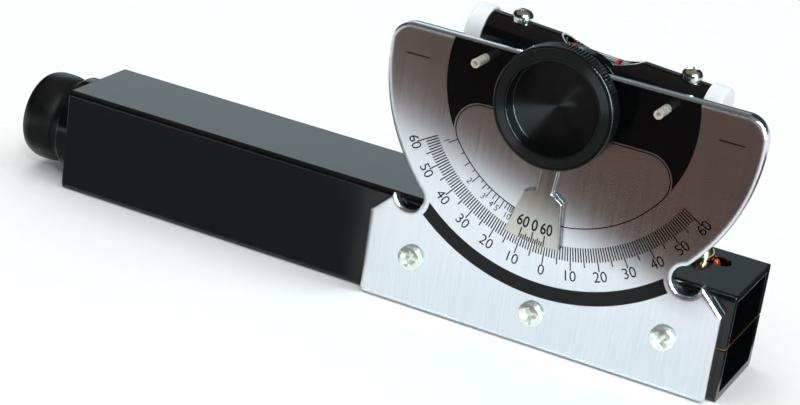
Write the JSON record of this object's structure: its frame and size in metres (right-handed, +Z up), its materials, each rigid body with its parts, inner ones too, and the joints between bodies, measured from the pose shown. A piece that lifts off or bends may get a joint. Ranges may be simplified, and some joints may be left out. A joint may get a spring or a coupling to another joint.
{
  "type": "inclinometer",
  "caption": "Pocket inclinometer: square sight tube with eyepiece, mirror and cross wire, a graduated arc plate, and a level that turns with a vernier arm and knurled knob.",
  "frame": {"origin": "on the sight tube's base, in the middle of its width, straight below the pivot", "axes": "+X along the sight tube towards its open end, +Z up from the tube to the pivot, -Y out of the graduated face towards the reader"},
  "size_m": [0.1466, 0.0304, 0.0575],
  "materials": {
    "sight_tube": "glossy black lacquer over brass",
    "arc_plate": "satin, brushed upright, with black printed scales",
    "plate_screws": "zinc-plated pan heads with a cross recess",
    "nut_strip": "plain zinc-plated strip",
    "stop_pins": "nickel-plated, turned",
    "pivot_bush": "turned",
    "mirror": "front-silvered glass",
    "mirror_holder": "blackened strip",
    "mirror_screw": "domed and polished, with a slot",
    "cross_wire": "bright wire",
    "end_plug": "glossy black lacquer, turned",
    "draw_tube": "satin black, turned",
    "eyecup": "glossy black",
    "eye_lens": "clear, polished",
    "lens_ring": "matt black",
    "stop_ring": "spring steel clip",
    "pivot_shaft": "turned",
    "knob": "black anodised, straight knurl and turned recess",
    "knob_set_screw": "blackened socket set screw",
    "index_arm": "satin nickel plate with black engraved vernier",
    "friction_washer": "hard fibre",
    "vial_carrier": "glossy black lacquer",
    "vial_housing": "glossy black lacquer",
    "end_caps": "milky white, slightly translucent",
    "vial_screws": "zinc-plated pan heads with a cross recess",
    "glass_vial": "clear tube with two red lines",
    "vial_spirit": "pale yellow-green liquid with one bubble",
    "vial_stopper": "black",
    "vial_seats": "white packing rings"
  },
  "bodies": {
    "frame": {"sight_tube": "sight_tube", "arc_plate": "arc_plate", "plate_screws": "plate_screws", "nut_strip": "nut_strip", "stop_pins": "stop_pins", "pivot_bush": "pivot_bush", "mirror": "mirror", "mirror_holder": "mirror_holder", "mirror_screw": "mirror_screw", "cross_wire": "cross_wire", "end_plug": "end_plug"},
    "eyepiece": {"draw_tube": "draw_tube", "eyecup": "eyecup", "eye_lens": "eye_lens", "lens_ring": "lens_ring", "stop_ring": "stop_ring"},
    "index": {"pivot_shaft": "pivot_shaft", "knob": "knob", "knob_set_screw": "knob_set_screw", "index_arm": "index_arm", "friction_washer": "friction_washer", "vial_carrier": "vial_carrier", "vial_housing": "vial_housing", "left_end_cap": "end_caps", "right_end_cap": "end_caps", "vial_screws": "vial_screws", "glass_vial": "glass_vial", "vial_spirit": "vial_spirit", "vial_stopper": "vial_stopper", "vial_seats": "vial_seats"}
  },
  "joints": [
    {"name": "index_turn", "type": "hinge", "parent": "frame", "child": "index", "pos_m": [0, 0, 0.0467], "axis": [0, 1, 0], "range_deg": [-95.5, 86]},
    {"name": "eyepiece_slide", "type": "slide", "parent": "frame", "child": "eyepiece", "axis": [-1, 0, 0], "range_m": [0, 0.0149]}
  ]
}
